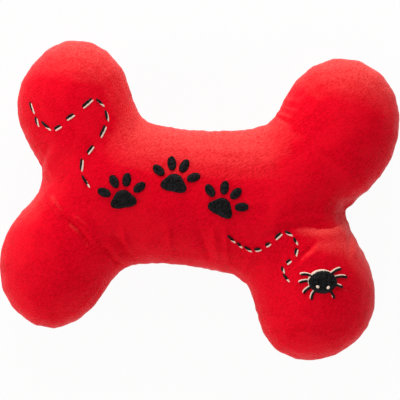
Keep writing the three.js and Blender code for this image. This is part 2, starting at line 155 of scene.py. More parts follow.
# Front and back panels: two bone-shaped pieces of red velour plush, sewn together inside out, then turned and
# stuffed. The stuffing swells them, the seam draws them in, and both allowances lie inside. They are blown up
# as cloth, which wrinkles them, and the pull of the seam and the larger folds are worked in afterwards.
def alone(piece):
    """Selects one piece and nothing else."""
    bpy.ops.object.select_all(action="DESELECT")
    piece.hide_set(False)
    piece.select_set(True)
    bpy.context.view_layer.objects.active = piece


@contextmanager
def editing(piece, selected="SELECT"):
    """Opens one piece for editing, with all of it selected, or nothing."""
    alone(piece)
    bpy.ops.object.mode_set(mode="EDIT")
    bpy.ops.mesh.select_all(action=selected)
    yield
    bpy.ops.object.mode_set(mode="OBJECT")


def joined(pieces, name):
    """Joins pieces into the first of them."""
    alone(pieces[0])
    for piece in pieces:
        piece.select_set(True)
    bpy.ops.object.join()
    pieces[0].name = name
    return pieces[0]


def smooth_shaded(piece, sharp_from=None):
    """Shades a piece smooth. Edges at more than an angle in degrees stay sharp, if one is given."""
    alone(piece)
    if sharp_from is None:
        bpy.ops.object.shade_smooth()
    else:
        bpy.ops.object.shade_smooth_by_angle(angle=math.radians(sharp_from))


def surface_of(piece):
    """The mesh of a piece, in a form that can be measured against."""
    return BVHTree.FromPolygons(
        [vertex.co for vertex in piece.data.vertices],
        [tuple(face.vertices) for face in piece.data.polygons])


def points_of(piece):
    """The vertices of a piece, as an array."""
    found = np.zeros(len(piece.data.vertices) * 3)
    piece.data.vertices.foreach_get("co", found)
    return found.reshape(-1, 3)


def set_points(piece, points):
    """Puts the vertices of a piece where an array says."""
    piece.data.vertices.foreach_set("co", points.ravel())
    piece.data.update()


def normals_of(piece):
    """The directions in which the vertices of a piece face."""
    found = np.zeros(len(piece.data.vertices) * 3)
    piece.data.vertex_normals.foreach_get("vector", found)
    return found.reshape(-1, 3)


def evened(values, piece, rounds):
    """Values at a piece's vertices, each drawn halfway to the mean of its neighbours, several times."""
    edges = np.zeros(len(piece.data.edges) * 2, int)
    piece.data.edges.foreach_get("vertices", edges)
    one, other = edges.reshape(-1, 2).T
    size = len(values)
    met = np.bincount(one, minlength=size) + np.bincount(other, minlength=size)
    for _ in range(rounds):
        near = np.stack([
            np.bincount(one, weights=column[other], minlength=size)
            + np.bincount(other, weights=column[one], minlength=size)
            for column in values.T], axis=1)
        values = (values + near / met[:, None]) / 2
    return values


def merge(piece, reach):
    """Merges the vertices of a piece that lie within reach of each other."""
    with editing(piece):
        bpy.ops.mesh.remove_doubles(threshold=reach)


def copied(name, node):
    """A merged copy of a CAD node, as an object of its own."""
    piece = bpy.data.objects.new(name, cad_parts[node].data.copy())
    bpy.context.scene.collection.objects.link(piece)
    merge(piece, 0.00001)
    piece.data.materials.clear()
    return piece


def applied(piece, kind, **settings):
    """Adds a modifier to a piece and applies it."""
    alone(piece)
    modifier = piece.modifiers.new(kind.lower(), kind)
    for name, value in settings.items():
        setattr(modifier, name, value)
    bpy.ops.object.modifier_apply(modifier=modifier.name)


def mesh_evenly(piece, cell, rounds):
    """Gives a piece a mesh of even cells, and smooths it some rounds."""
    piece.data.remesh_voxel_size = cell
    alone(piece)
    bpy.ops.object.voxel_remesh()
    applied(piece, "SMOOTH", factor=0.5, iterations=rounds)


def lies_level(face, height):
    """Whether a face lies level, at a height."""
    return abs(face.normal.z) > 0.999 and abs(face.calc_center_median().z - height) < 0.0003


def outer_wall(piece, side):
    """Leaves only the outside of a panel, down to its seam. Side is 1 at the front and -1 at the back."""
    mesh = bmesh.new()
    mesh.from_mesh(piece.data)
    level = [face for face in mesh.faces if lies_level(face, seam_height)]
    bmesh.ops.delete(mesh, geom=level, context="FACES")
    crown = max(mesh.verts, key=lambda vertex: vertex.co.z * side)
    kept, edge_of_kept = {crown}, [crown]
    while edge_of_kept:
        vertex = edge_of_kept.pop()
        for edge in vertex.link_edges:
            other = edge.other_vert(vertex)
            if other not in kept:
                kept.add(other)
                edge_of_kept.append(other)
    bmesh.ops.delete(mesh, geom=[v for v in mesh.verts if v not in kept], context="VERTS")
    mesh.to_mesh(piece.data)
    mesh.free()


skin = copied("skin", "front_panel")
outer_wall(skin, 1)
back_wall = copied("back_wall", "back_panel")
outer_wall(back_wall, -1)
merge(joined([skin, back_wall], "skin"), 0.0004)
cut_surface = surface_of(skin)
mesh_evenly(skin, cell=0.0032, rounds=8)

# Twenty frames of blowing up give the wrinkles. The large waves that come with them are taken out again.
last_frame = 20
swell_cap = 0.005
wave_rounds = 60
wrinkle_gain = 0.45
before = points_of(skin)
scene = bpy.context.scene
scene.frame_start, scene.frame_end = 1, last_frame
cloth = skin.modifiers.new("cloth", "CLOTH")
cloth.settings.quality = 6
cloth.settings.mass = 0.25
cloth.settings.tension_stiffness = 12
cloth.settings.compression_stiffness = 12
cloth.settings.shear_stiffness = 6
cloth.settings.bending_stiffness = 0.6
cloth.settings.use_pressure = True
cloth.settings.uniform_pressure_force = 4
cloth.settings.shrink_min = -0.03
cloth.settings.effector_weights.gravity = 0
cloth.point_cache.frame_start, cloth.point_cache.frame_end = 1, last_frame
for moment in range(1, last_frame + 1):
    scene.frame_set(moment)
moved = points_of(skin.evaluated_get(bpy.context.evaluated_depsgraph_get())) - before
skin.modifiers.remove(cloth)
scene.frame_set(1)
far = np.maximum(np.linalg.norm(moved, axis=1), 1e-9)
moved *= np.minimum(1, swell_cap / far)[:, None]
wrinkles = moved - evened(moved, skin, wave_rounds)
set_points(skin, before + wrinkles * wrinkle_gain)

# The skin goes back to the size of the cut shape, which the even mesh and the cloth changed a little.
fitting_rounds = 2
for _ in range(fitting_rounds):
    places, facing = points_of(skin), normals_of(skin)
    short = []
    for place, way in zip(places, facing):
        nearest = cut_surface.find_nearest(Vector(place))[0]
        short.append([(nearest - Vector(place)).dot(Vector(way))])
    set_points(skin, places + facing * evened(np.array(short), skin, rounds=5))
lining = skin.copy()
lining.data = skin.data.copy()
bpy.context.scene.collection.objects.link(lining)
applied(skin, "SUBSURF", levels=2, render_levels=2)


def spread_noise(points, sizes, seed):
    """Smooth noise from -1 to 1 at points, with a feature size along each axis."""
    scaled = points / np.array(sizes) + seed
    return np.array([noise.noise(Vector(place)) for place in scaled])


def fading(distance, reach):
    """1 at no distance, and fading to nothing over a reach."""
    return np.exp(-(distance / reach) ** 2)


def fold_height(points, fold, ridge):
    """What one fold adds to the fabric's height at points: a valley along a line, and a ridge on its left.

    A fold is a list of (x, y, depth, width), in millimetres."""
    height = np.zeros(len(points))
    widths_reached = 4
    reach = max(stop[3] for stop in fold) * widths_reached
    low = np.min([stop[:2] for stop in fold], axis=0) - reach
    high = np.max([stop[:2] for stop in fold], axis=0) + reach
    near = np.where(np.all((points[:, :2] > low) & (points[:, :2] < high), axis=1))[0]
    flat = points[near, :2]
    best = np.full(len(near), 1e9)
    found = np.zeros((len(near), 3))
    for start, end in zip(fold[:-1], fold[1:]):
        a, b = np.array(start[:2]), np.array(end[:2])
        run = b - a
        share = np.clip((flat - a) @ run / (run @ run), 0, 1)
        off = flat - (a + share[:, None] * run)
        far = np.linalg.norm(off, axis=1)
        left = np.sign(run[0] * off[:, 1] - run[1] * off[:, 0])
        closer = far < best
        best[closer] = far[closer]
        depth = start[2] + share * (end[2] - start[2])
        width = start[3] + share * (end[3] - start[3])
        found[closer] = np.stack([depth, width, left * far], axis=1)[closer]
    depth, width, across = found.T
    ridge_place, ridge_width = 1.9 * width, 1.1 * width
    height[near] = -depth * fading(across, width)
    height[near] += ridge * depth * fading(across - ridge_place, ridge_width)
    return height


# Each fold is a line of places with its depth and width there, below zero where the fabric stands up, and the
# share of that depth to which a ridge rises on its left. First comes the deep crease out of the right notch,
# with the hollows above it and the swells below it.
front_folds = [
    ([(92, -2, 1.2, 2.5), (90, -6.2, 2.4, 3), (84.8, -9.2, 2.9, 3.2), (74.5, -11.8, 2.5, 3.4),
      (64, -12.4, 1.9, 3.6), (54, -15, 1.4, 3.4), (46.6, -19, 1, 2.8), (38, -24, 0, 2.6)], 0),
    ([(98, 4, 0, 9), (88, 0, 1.9, 9), (74, -3, 2.2, 9), (60, -6, 0.9, 9), (50, -9, 0, 8)], 0),
    ([(102, 14, 0, 13), (90, 11, 2, 13), (72, 8, 2.3, 13), (56, 4, 0, 13)], 0),
    ([(106, -26, 0, 7), (92, -26, -1.2, 7), (78, -27, -1.5, 7), (68, -29, -1, 7), (61, -34, 0, 6)], 0),
    ([(112, -38, 0, 14), (98, -38, -2.6, 14), (80, -38, -3.1, 14), (68, -39, -1.9, 13),
      (56, -43, 0, 11)], 0),
    # Lines in the lower right lobe.
    ([(94.5, -9, 0, 1.5), (95.5, -15.7, 0.9, 1.8), (94.3, -22, 0.9, 1.9), (93, -30, 0, 2)], 0.6),
    ([(74, -20, 0, 1.5), (71, -25, 1.1, 1.7), (66.6, -30.4, 1.2, 1.7), (62, -36, 0, 1.6)], 0.5),
    ([(84, -46, 0, 0.9), (88, -47.2, 0.7, 1.2), (95.1, -47.6, 0.7, 1.2), (104, -50, 0, 0.9)], 0.6),
    # The neck of the upper right lobe, with two short gathers in its corner.
    ([(74, 5.6, 0, 1.6), (81.8, 3.9, 0.7, 1.8), (88, 2, 0.6, 1.6)], 0.4),
    ([(47.7, 53.2, 0, 4), (55.8, 46.6, 0.7, 5), (72, 40, 0.7, 6), (82, 24.4, 0.6, 6),
      (87, 9, 0, 5)], 0.2),
    ([(43, 54.5, 0.3, 1.2), (47, 52.4, 0.5, 1.4), (53, 49.5, 0, 1.6)], 0.8),
    ([(45.5, 63, 0.3, 1.2), (50, 61.5, 0.5, 1.4), (57, 60, 0, 1.6)], 0.8),
    # Soft rays that the seam pulls up from the lower waist.
    ([(-46, -20, 0, 1.6), (-43.5, -29, -1.1, 1.7), (-41, -36, -1.1, 1.6), (-39, -43, 0, 1.4)], 0),
    ([(-19, -16, 0, 1.7), (-16.5, -24, -0.9, 1.8), (-14.5, -32, -1.1, 1.7), (-12.5, -41, 0, 1.5)], 0),
    ([(9, -15, 0, 2.4), (11, -22, -1.2, 2.4), (14, -31, -1.2, 2.1), (16, -38, 0, 1.7)], 0),
    ([(17, -15, 0, 1.6), (19, -26, -1.1, 1.7), (21, -36, -1.1, 1.6), (22.5, -44, 0, 1.4)], 0),
    ([(38, -28, 0, 2.2), (35, -36, -1.2, 2.2), (32.6, -44, -0.8, 1.8), (31, -48, 0, 1.8)], 0),
    ([(0, -16, 0, 2), (4.9, -26.6, 1.2, 2.2), (8.8, -34.3, 1.2, 2), (11, -42, 0, 2)], 0),
    ([(-51, -27, 0, 1.6), (-47.3, -30.6, 1.2, 1.8), (-41, -37.4, 1.2, 1.7), (-35.7, -42, 0, 1.4)], 0.3),
    # The left notch, and the fold from it round the neck of the lower left lobe.
    ([(-99.6, 5, 0.8, 2.2), (-98.8, 11.4, 1.5, 2.4), (-96.9, 19.1, 1.1, 2.6), (-93, 27, 0, 3)], -0.6),
    ([(-94.5, -7, 0, 3), (-94.5, 2, -1.2, 3.4), (-93, 13, -1.1, 3.6), (-88, 24, 0, 3.6)], 0),
    ([(-92, -8, 0, 2), (-88, -14, -1.1, 2.2), (-83, -19.9, -0.8, 2.2), (-79, -22, 0, 2)], 0),
    ([(-80, -21, 0, 1.6), (-76.7, -23.8, 1.4, 1.8), (-71.3, -27.4, 1.7, 1.9), (-65.6, -35, 1.4, 1.9),
      (-61, -39, 0, 1.8)], 0.7),
    ([(-60, -33, 0, 1.6), (-54, -38, 1.3, 1.9), (-48, -43.5, 1.2, 1.8), (-44, -47, 0, 1.6)], 0.6),
]
# The back isn't shown: its creases lie like those of the front, with a few rays at the waist.
back_folds = [
    ([(93, -0.5, 0.8, 2.5), (84, -4, 1.6, 3), (72, -8, 1.2, 3.4), (56, -13, 0, 4)], 0.3),
    ([(-97, 1, 0.8, 2.5), (-97.5, 9, 1.4, 3), (-96, 18, 1, 3), (-93, 26, 0, 3.4)], -0.4),
    ([(-20, -44, 0, 2), (-17, -36, 0.5, 2.2), (-16, -27, 0, 2.4)], 0.5),
    ([(8, -43, 0, 2), (6, -34, 0.45, 2.2), (3, -26, 0, 2.4)], 0.5),
    ([(28, 43, 0, 2), (25, 35, 0.5, 2.2), (24, 26, 0, 2.4)], 0.5),
    ([(-10, 42, 0, 2), (-8, 34, 0.4, 2.2), (-9, 25, 0, 2.4)], 0.5),
]
# Where the outline is pushed outwards or inwards: at (x, y), by (x, y), fading out over a reach.
pushes = [
    (91, -1.5, -2.4, 0, 8), (43, 55, 1.3, -1.2, 11), (-88, 90, 0.2, 1.1, 24), (-114, 74, 0.7, -0.6, 12),
    (-79, -88, 0.2, -1.2, 24), (-33, -45, 0, -1.1, 14), (66, -87, -0.3, -1, 20), (106, -70, 0.7, -0.7, 18),
    (108, 84, 0.9, 0.6, 20), (-100, 10, -1, 0.2, 9), (-112, -20, -0.4, 0.3, 12), (36, -50, -0.5, 0.5, 12),
    (-40, 47, 0, -0.5, 14), (104, 18, 0.4, -0.7, 10),
]
millimetre = 0.001
points = points_of(skin) / millimetre
facing = normals_of(skin)
above = points[:, 2] - seam_height / millimetre

# What is felt through the fabric, with the sizes of its noise along each axis, all in millimetres.
wads_felt = 0.45 * spread_noise(points, (26, 26, 26), 11) + 0.22 * spread_noise(points, (11, 11, 11), 5)
seam_pull = (1.5 + 0.25 * spread_noise(points, (5, 5, 60), 57)) * fading(above, 1.7)
notches = fading(np.hypot(np.abs(points[:, 0]) - 100, points[:, 1]), 18)
waist = fading(points[:, 0], 55)
gathers = spread_noise(points, (3.4, 3.4, 40), 31) * (0.32 + 0.4 * notches + 0.3 * waist)
tucks = spread_noise(points, (8, 8, 60), 43) * (0.15 + 0.5 * notches + 0.35 * waist)
height = wads_felt + tucks * fading(above, 16) + gathers * fading(above, 7) - seam_pull
folds_fade_in = 5
for folds, side in ((front_folds, 1), (back_folds, -1)):
    there = np.clip(above * side / folds_fade_in, 0, 1)
    for fold, ridge in folds:
        height += there * fold_height(points, fold, ridge)
velour_stands_up = 0.9
points += facing * (height + velour_stands_up)[:, None]
for x, y, push_x, push_y, reach in pushes:
    share = fading(np.hypot(points[:, 0] - x, points[:, 1] - y), reach)
    points[:, :2] += share[:, None] * (push_x, push_y)
just_off_the_table = 0.02
points[:, 2] = np.maximum(points[:, 2], just_off_the_table)
set_points(skin, points * millimetre)
fabric_thickness = 0.0024
set_points(lining, points_of(lining) - normals_of(lining) * fabric_thickness)
lining_surface = surface_of(lining)


def cut(piece, level, keep_above):
    """Cuts a mesh level and keeps one side of it, open at the cut."""
    with editing(piece):
        bpy.ops.mesh.bisect(
            plane_co=(0, 0, level), plane_no=(0, 0, 1), use_fill=False,
            clear_inner=keep_above, clear_outer=not keep_above)
    merge(piece, 0.04 * millimetre)


def open_edge(mesh, level):
    """The vertices round a mesh's open edge at a height, in order and anticlockwise from above."""
    start = next(
        edge for edge in mesh.edges
        if edge.is_boundary and abs(edge.verts[0].co.z - level) < 0.01 * millimetre)
    line, last, vertex = [], start, start.verts[1]
    while True:
        line.append(vertex)
        last = next(edge for edge in vertex.link_edges if edge.is_boundary and edge is not last)
        vertex = last.other_vert(vertex)
        if last is start:
            break
    turning = sum(a.co.x * b.co.y - a.co.y * b.co.x for a, b in zip(line, line[1:] + line[:1]))
    return line if turning > 0 else line[::-1]


def zipped(mesh, outer, inner):
    """Fills the strip between two rows of vertices that run the same way round."""
    first = min(range(len(inner)), key=lambda i: (inner[i].co - outer[0].co).length)
    inner = inner[first:] + inner[:first + 1]
    outer = outer + outer[:1]
    i = j = 0
    while i < len(outer) - 1 or j < len(inner) - 1:
        over = j == len(inner) - 1 or (
            i < len(outer) - 1
            and (outer[i + 1].co - inner[j].co).length <= (outer[i].co - inner[j + 1].co).length)
        if over:
            mesh.faces.new((outer[i], outer[i + 1], inner[j]))
            i += 1
        else:
            mesh.faces.new((outer[i], inner[j + 1], inner[j]))
            j += 1


allowance_width = 0.0075
allowance_height = 0.0013
allowance_points = 360
allowance_rounds = 6
seam_split = 0.0001


def evenly(line, count):
    """A line in two dimensions with its points spread evenly, and how far along it each one is."""
    gone = np.concatenate([[0], np.cumsum(np.linalg.norm(np.diff(line, axis=0), axis=1))])
    even = np.linspace(0, gone[-1], count)
    return np.stack([np.interp(even, gone, line[:, axis]) for axis in range(2)], axis=1), even


def left_of(run):
    """Unit vectors to the left of the way a line runs."""
    return np.stack([-run[:, 1], run[:, 0]], axis=1) / np.linalg.norm(run, axis=1)[:, None]


def panel(name, side):
    """One panel as a closed piece: its outside, its inside, and the allowance turned in along the seam."""
    outside, inside = skin.copy(), lining.copy()
    for half in (outside, inside):
        half.data = half.data.copy()
        bpy.context.scene.collection.objects.link(half)
    level = seam_height + seam_split * side
    inner_level = level + allowance_height * side
    cut(outside, level, side > 0)
    cut(inside, inner_level, side > 0)
    joined([outside, inside], name)
    mesh = bmesh.new()
    mesh.from_mesh(outside.data)
    rim, inner_rim = open_edge(mesh, level), open_edge(mesh, inner_level)
    line = np.array([vertex.co for vertex in rim])
    line = evenly(line, allowance_points + 1)[0][:-1]
    for _ in range(allowance_rounds):
        line = (np.roll(line, 1, 0) + 2 * line + np.roll(line, -1, 0)) / 4
    line += left_of(np.roll(line, -3, 0) - np.roll(line, 3, 0)) * allowance_width
    rings = [[mesh.verts.new((x, y, z)) for x, y in line] for z in (level, inner_level)]
    zipped(mesh, rim, rings[0])
    zipped(mesh, rings[0], rings[1])
    zipped(mesh, rings[1], inner_rim)
    bmesh.ops.recalc_face_normals(mesh, faces=mesh.faces)
    mesh.to_mesh(outside.data)
    mesh.free()
    smooth_shaded(outside)
    return outside


front_skin = panel("front_skin", 1)
back_skin = panel("back_skin", -1)
bpy.data.objects.remove(skin)
bpy.data.objects.remove(lining)

# Painted highlight: slopes that face the upper edge, towards the strongest window, are marked here to be
# painted paler and pinker.
painted_highlight_way = np.array((0.1, 0.99, 0))
painted_highlight_starts, painted_highlight_full = 0.22, 0.82
for half in (front_skin, back_skin):
    painted_highlight = np.clip((normals_of(half) @ painted_highlight_way - painted_highlight_starts) / (painted_highlight_full - painted_highlight_starts), 0, 1)
    half.data.attributes.new("painted_highlight_mask", "FLOAT", "POINT").data.foreach_set("value", painted_highlight)

# Velour: short hair in tufts that lie aslant, brushed lighter and glossier in patches, with a painted
# highlight, paler and pinker, on slopes that face the upper edge.
# The colour sockets of a mix node are known by their numbers.
mix_from, mix_to, mix_result = 6, 7, 2


def mixed_colour(tree, share, one, other):
    """A mix of two colours in a shader, from the one at no share to the other at a full share."""
    return added(
        tree, "ShaderNodeMix", {"Factor": share, mix_from: one, mix_to: other},
        data_type="RGBA").outputs[mix_result]


def speckle(tree, place, scale, detail=2, roughness=0.5, distortion=0):
    """Noise in a shader, from 0 to 1."""
    return added(tree, "ShaderNodeTexNoise", {
        "Vector": place, "Scale": scale, "Detail": detail, "Roughness": roughness,
        "Distortion": distortion}).outputs["Fac"]


def ranged(tree, value, low=0, high=1, to_low=0, to_high=1):
    """A value in a shader, moved from one range to another and kept in there."""
    return added(tree, "ShaderNodeMapRange", {
        "Value": value, "From Min": low, "From Max": high, "To Min": to_low,
        "To Max": to_high}).outputs["Result"]


def relief(tree, height, strength, distance):
    """The slopes that a height in a shader gives a surface."""
    return added(tree, "ShaderNodeBump", {
        "Height": height, "Strength": strength, "Distance": distance}).outputs["Normal"]


velour, tree, surface = new_material("red velour")
where = added(tree, "ShaderNodeTexCoord").outputs["Object"]
lay = added(
    tree, "ShaderNodeMapping",
    {"Vector": where, "Rotation": (0, 0, math.radians(42)), "Scale": (2.6, 1, 1.2)}, vector_type="TEXTURE")
tufts = speckle(tree, lay.outputs["Vector"], scale=1150, detail=3, roughness=0.6, distortion=0.4)
tuft_share = ranged(tree, tufts, 0.36, 0.64)
tuft_tone = mixed_colour(tree, tuft_share, (0.7, 0.0003, 0.009, 1), (0.98, 0.001, 0.02, 1))
brushed = speckle(tree, where, scale=42, detail=4, roughness=0.45, distortion=1.2)
brushed_share = ranged(tree, brushed, 0.42, 0.68, to_high=0.55)
brushed_tone = mixed_colour(tree, brushed_share, tuft_tone, (0.98, 0.004, 0.02, 1))
# Painted highlight: slopes that face the upper edge get a paler, pinker base colour, stronger on the lighter
# tufts.
painted_highlight = added(tree, "ShaderNodeAttribute", attribute_name="painted_highlight_mask").outputs["Fac"]
painted_highlight_share = worked_out(tree, "MULTIPLY", painted_highlight, ranged(tree, tuft_share, to_low=0.25, to_high=0.95))
put(surface, {
    "Base Color": mixed_colour(tree, painted_highlight_share, brushed_tone, (0.98, 0.105, 0.09, 1)),
    "Roughness": ranged(tree, brushed, 0.35, 0.68, 0.46, 0.34), "Normal": relief(tree, tufts, 0.75, 0.0008),
    "Specular IOR Level": 0.05, "Specular Tint": (1, 0.32, 0.27, 1),
    "Sheen Weight": 0.05, "Sheen Roughness": 0.4, "Sheen Tint": (1, 0.55, 0.45, 1)})
for half, node in ((front_skin, "front_panel"), (back_skin, "back_panel")):
    half.data.materials.append(velour)
    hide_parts(node)
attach(back_skin, "back")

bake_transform(front_skin)


# Satin embroidery: black rayon thread laid side by side over each shape, in a shallow dome whose ends are
# pulled down into the pile. Three paw prints cross the shaft, and a spider sits on the lower right lobe, on a
# pale copy of itself that was stitched first and shows as an edging on its upper left.
front_surface = surface_of(front_skin)


def dropped(x, y, onto=front_surface):
    """The place on a surface under (x, y) in millimetres, and the way the surface faces there."""
    above_the_toy = 120
    place, facing, _, _ = onto.ray_cast(Vector((x, y, above_the_toy)) * millimetre, Vector((0, 0, -1)))
    return place, facing


thread_pitch = 0.42
samples_in_stitch = 4
stitch_rows = 13
full_rise_width = 3.5
dome_fullness = 2.6
ends_sunk = 0.4
stitch_ridge = 0.2
bundle_ridge = 0.22
outermost_sunk = 0.7
cloth_of_threads = 0.0003


def satin(name, stitches, rise):
    """A satin-stitched shape from its stitches' ends, given in millimetres, one pair for each sample."""
    count = len(stitches)
    bpy.ops.mesh.primitive_grid_add(x_subdivisions=count - 1, y_subdivisions=stitch_rows - 1, size=2)
    piece = bpy.context.object
    piece.name = name
    places = points_of(piece)
    column = np.rint((places[:, 0] + 1) / 2 * (count - 1)).astype(int)
    along = (places[:, 1] + 1) / 2
    closer_at_ends = 0.6
    along += closer_at_ends * ((1 - np.cos(along * math.pi)) / 2 - along)
    starts, ends = stitches[column, 0], stitches[column, 1]
    flat = starts + (ends - starts) * along[:, None]
    width = np.linalg.norm(ends - starts, axis=1)
    dome = np.sqrt(np.maximum(0, 1 - np.abs(2 * along - 1) ** dome_fullness))
    lift = rise * np.sqrt(np.minimum(1, width / full_rise_width)) * dome - ends_sunk * (1 - dome)
    lift += stitch_ridge * dome * np.sin(column / samples_in_stitch * math.pi) ** 2
    bundle = np.random.default_rng(count).uniform(-1, 1, count // samples_in_stitch + 3)
    bundle = (bundle[:-1] + bundle[1:]) / 2
    lift += bundle_ridge * dome * bundle[(column + 2) // samples_in_stitch]
    outermost = (column == 0) | (column == count - 1)
    lift[outermost] -= outermost_sunk * rise
    for index, ((x, y), up) in enumerate(zip(flat, lift)):
        place, facing = dropped(x, y)
        places[index] = place + Vector(facing) * up * millimetre
    set_points(piece, places)
    applied(piece, "SOLIDIFY", thickness=cloth_of_threads, offset=-1)
    smooth_shaded(piece)
    return piece


def turned_place(at, x, y):
    """A place in a motif's own turned frame, in millimetres on the toy."""
    turn = math.radians(at[2])
    return np.array([
        at[0] + x * math.cos(turn) - y * math.sin(turn),
        at[1] + x * math.sin(turn) + y * math.cos(turn)])


stitch_unevenness = 0.12
shortest_stitch = 0.4


def across_shape(at, outline, shift=(0, 0)):
    """Stitch ends up and down across a shape, given by its outline in its own frame."""
    closed = np.vstack([outline, outline[:1]])
    margin = 0.12
    left, right = outline[:, 0].min() + margin, outline[:, 0].max() - margin
    count = round((right - left) / thread_pitch) * samples_in_stitch + 1
    ends = []
    rough = np.random.default_rng(len(outline) + count)
    jitter = rough.uniform(-stitch_unevenness, stitch_unevenness, (count // samples_in_stitch + 2, 2))
    for index in range(count):
        x = left + (right - left) * index / (count - 1)
        crossing = []
        for (ax, ay), (bx, by) in zip(closed[:-1], closed[1:]):
            if (ax - x) * (bx - x) <= 0 and ax != bx:
                crossing.append(ay + (by - ay) * (x - ax) / (bx - ax))
        low, high = min(crossing), max(crossing)
        stitch = (index + 2) // samples_in_stitch
        low, high = low + jitter[stitch, 0], max(low + shortest_stitch, high + jitter[stitch, 1])
        ends.append([turned_place(at, x, low) + shift, turned_place(at, x, high) + shift])
    return np.array(ends)


def round_outline(half_x, half_y, trefoil=0.0):
    """An oval, or with some trefoil a rounded triangle, as a ring of points."""
    ring_points = 96
    angle = np.arange(ring_points) / ring_points * 2 * math.pi
    reach = 1 - trefoil * np.sin(3 * angle)
    return np.stack([half_x * reach * np.cos(angle), half_y * reach * np.sin(angle)], axis=1)


# Each paw print has a place and a turn in degrees. Its pad lies below that place and its toes round it.
paws = [(-47, -4, 14), (-16, 9, -6), (15, -3, -22)]
pad_half_width, pad_half_height, pad_trefoil = 7.8, 5.8, 0.13
pad_below = 3
toe_half_length, toe_half_width = 4.4, 2.9
toe_angles = (150, 108, 72, 30)
toes_reach = 12.6
thread_rise = 1.45
black_pieces, cream_pieces = [], []


def black_satin(node, stitches, rise):
    """A black satin shape that takes the place of a CAD node."""
    black_pieces.append((satin(f"satin_{node}", stitches, rise), node))


for number, paw in enumerate(paws, 1):
    pad_x, pad_y = turned_place(paw, 0, -pad_below)
    outline = round_outline(pad_half_width, pad_half_height, pad_trefoil)
    black_satin(f"paw_{number}_pad", across_shape((pad_x, pad_y, paw[2]), outline), thread_rise)
    for toe, angle in enumerate(toe_angles, 1):
        turn = math.radians(angle)
        toe_x, toe_y = turned_place(
            paw, toes_reach * math.cos(turn), toes_reach * math.sin(turn) - pad_below)
        outline = round_outline(toe_half_length, toe_half_width)
        black_satin(
            f"paw_{number}_toe_{toe}", across_shape((toe_x, toe_y, paw[2] + angle), outline), thread_rise)

# The spider's legs are bent: each has a knee and a foot, as shares of half the body's width.
spider = (80.4, -44.7, 5.7)
spider_half_width, spider_half_height = 8.6, 7.5
spider_outline = round_outline(spider_half_width, spider_half_height)
leg_bends = [
    ((-1.21, 0.66), (-1.57, 0.49)), ((-1.4, 0.12), (-1.66, -0.09)), ((-1.27, -0.55), (-1.33, -0.85)),
    ((-0.87, -1.02), (-0.76, -1.3)), ((0.85, -1.02), (0.81, -1.21)), ((1.27, -0.27), (1.45, -0.4)),
    ((1.4, 0.49), (1.76, 0.3)), ((1.02, 0.94), (1.33, 0.91)),
]
hip_reach = 6.6
foot_narrows_over, foot_stays = 0.9, 0.12
eyes = ((-3.1, -2.7), (3.1, -3.2))
eye_radius = 0.0009
eye_lift = 1.75


def along_leg(knee, foot, half_width, shift=(0, 0)):
    """Stitch ends across a bent leg, from under the body over the knee to the foot."""
    knee, foot = np.array(knee) * spider_half_width, np.array(foot) * spider_half_width
    hip = knee / np.linalg.norm(knee) * hip_reach
    line = [(1 - t) ** 2 * hip + 2 * t * (1 - t) * knee + t * t * foot for t in np.linspace(0, 1, 60)]
    line = np.array([turned_place(spider, *place) for place in line]) + shift
    length = np.linalg.norm(np.diff(line, axis=0), axis=1).sum()
    line, even = evenly(line, round(length / thread_pitch) * samples_in_stitch + 1)
    side = left_of(np.gradient(line, axis=0))
    blunt = (even[-1] - even) / foot_narrows_over + foot_stays
    narrow = half_width * np.sqrt(np.clip(blunt, 0, 1))[:, None]
    return np.stack([line - side * narrow, line + side * narrow], axis=1)


edging_shift = np.array([-0.65, 0.6])
cream_pieces.append(
    satin("edging_spider_body", across_shape(spider, spider_outline, edging_shift), rise=0.95))
for number, (knee, foot) in enumerate(leg_bends, 1):
    black_satin(f"spider_leg_{number}", along_leg(knee, foot, half_width=0.88), rise=1.35)
    edging = along_leg(knee, foot, half_width=0.7, shift=edging_shift)
    cream_pieces.append(satin(f"edging_spider_leg_{number}", edging, rise=0.85))
black_satin("spider_body", across_shape(spider, spider_outline), thread_rise + 0.2)
for number, (x, y) in enumerate(eyes, 1):
    place, facing = dropped(*turned_place(spider, x, y))
    bpy.ops.mesh.primitive_uv_sphere_add(segments=16, ring_count=10, radius=eye_radius)
    knot = bpy.context.object
    knot.name = f"knot_spider_eye_{number}"
    with editing(knot):
        bpy.ops.transform.resize(value=(1.25, 1, 0.7))
    turn = Vector(facing).to_track_quat("Z", "Y").to_matrix().to_4x4()
    knot.data.transform(Matrix.Translation(place + facing * eye_lift * millimetre) @ turn)
    bpy.ops.object.shade_smooth()
    cream_pieces.append(knot)


def shader_group(name, inputs, outputs):
    """A shader node group: its tree, the sockets of what comes in, and the node for what goes out."""
    group = bpy.data.node_groups.new(name, "ShaderNodeTree")
    for title, kind in inputs.items():
        group.interface.new_socket(name=title, in_out="INPUT", socket_type=kind)
    for title, kind in outputs.items():
        group.interface.new_socket(name=title, in_out="OUTPUT", socket_type=kind)
    return group, added(group, "NodeGroupInput").outputs, added(group, "NodeGroupOutput")


def scaled_colour(tree, colour, times):
    """A colour in a shader, made darker or paler."""
    return added(
        tree, "ShaderNodeVectorMath", {"Vector": colour, "Scale": times},
        operation="SCALE").outputs["Vector"]


# Painted sheen: the thread's colour is scaled up and down at random in fine streaks, as if its fibres caught
# the light unevenly. The same noise gives the fibres' relief.
thread_fibres_with_painted_sheen, given, result = shader_group(
    "thread fibres with painted sheen",
    {"Colour": "NodeSocketColor", "Streaks": "NodeSocketFloat"},
    {"Colour": "NodeSocketColor", "Height": "NodeSocketFloat"})
where = added(thread_fibres_with_painted_sheen, "ShaderNodeTexCoord").outputs["Object"]
fibre = speckle(thread_fibres_with_painted_sheen, where, scale=800)
swing = ranged(thread_fibres_with_painted_sheen, fibre, 0.38, 0.62, to_low=-1)
strength = worked_out(thread_fibres_with_painted_sheen, "MULTIPLY_ADD", swing, given["Streaks"], 1)
put(result, {"Colour": scaled_colour(thread_fibres_with_painted_sheen, given["Colour"], strength), "Height": fibre})


